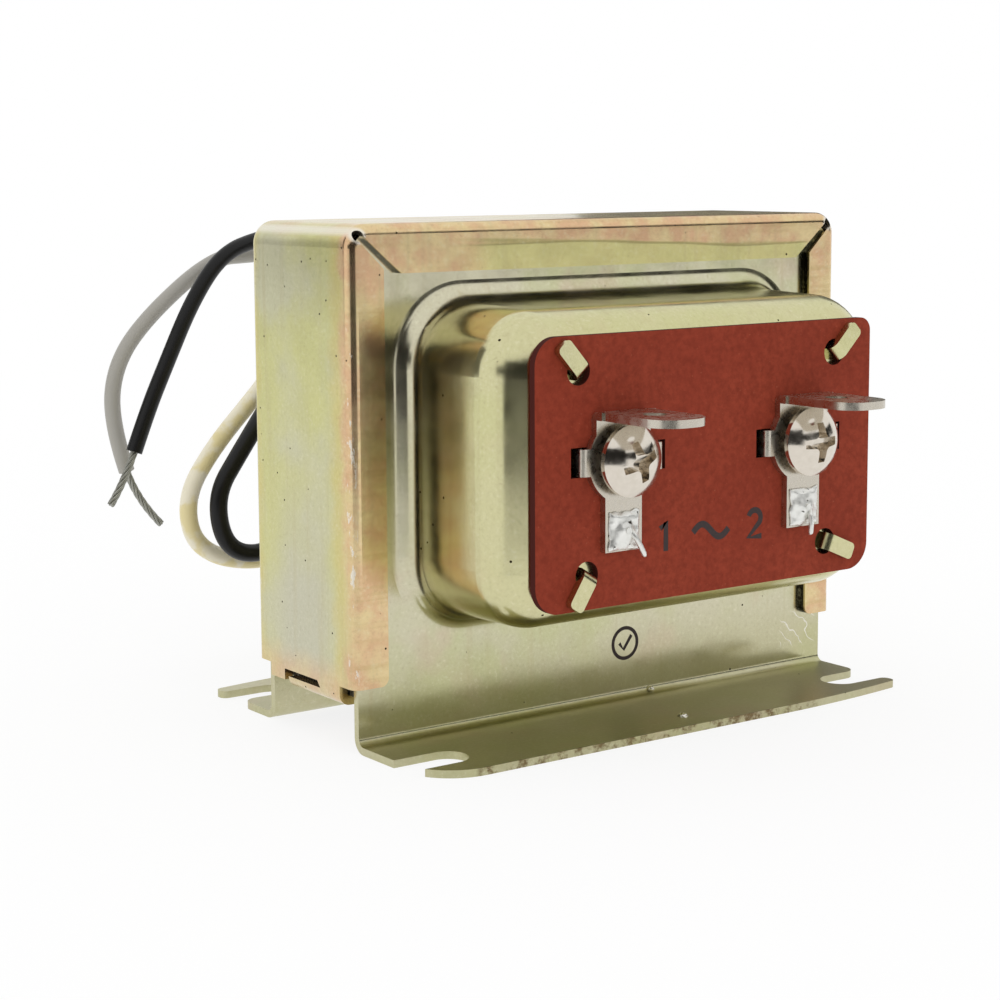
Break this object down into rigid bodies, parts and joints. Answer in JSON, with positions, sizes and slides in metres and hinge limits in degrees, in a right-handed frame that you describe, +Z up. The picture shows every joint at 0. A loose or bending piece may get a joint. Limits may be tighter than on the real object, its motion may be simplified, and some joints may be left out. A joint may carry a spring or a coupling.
{
  "type": "lock transformer",
  "caption": "Small chassis transformer in a folded and drawn steel case, with slotted feet, a front board of screw and spade terminals, and stripped leads at the back.",
  "frame": {"origin": "the middle of the four slots in the feet, at the underside of the feet", "axes": "+Z up from the surface it is screwed to, -Y towards the terminal board, +X to the right for someone who faces the terminal board"},
  "size_m": [0.066, 0.1052, 0.0535],
  "materials": {
    "zinc_steel": "yellow passivated zinc plate on drawn steel sheet, satin",
    "red_fibre": "brick red vulcanised fibre sheet, matte",
    "bright_plate": "bright nickel plate on brass and steel",
    "solder": "tin solder, soft sheen",
    "core_steel": "annealed silicon steel laminations, blue-grey oxide",
    "bobbin_nylon": "natural nylon moulding",
    "magnet_wire": "enamelled copper wire",
    "coil_tape": "yellow polyester tape and fish paper",
    "black_nylon": "black nylon moulding",
    "black_pvc": "black PVC lead insulation, soft gloss",
    "white_pvc": "white PVC lead insulation, yellowed",
    "sleeving": "varnished glass sleeving over the soldered joint"
  },
  "bodies": {
    "root": {"case_band": "zinc_steel", "front_plate": "zinc_steel", "rear_plate": "zinc_steel", "terminal_board": "red_fibre", "terminal_left": "bright_plate", "terminal_right": "bright_plate", "terminal_screw_left": "bright_plate", "terminal_screw_right": "bright_plate", "solder_left": "solder", "solder_right": "solder", "secondary_end_left": "solder", "secondary_end_right": "solder", "core_e_stack": "core_steel", "core_i_stack": "core_steel", "bobbin": "bobbin_nylon", "primary_winding": "magnet_wire", "primary_tape": "coil_tape", "secondary_winding": "magnet_wire", "secondary_tape": "coil_tape", "coil_insulator": "coil_tape", "lead_bushing": "black_nylon", "inner_lead_black": "black_pvc", "inner_lead_white": "white_pvc", "splice_black": "sleeving", "splice_white": "sleeving", "lead_black": "black_pvc", "lead_white": "white_pvc", "bare_end_black": "solder", "bare_end_white": "solder"}
  },
  "joints": []
}
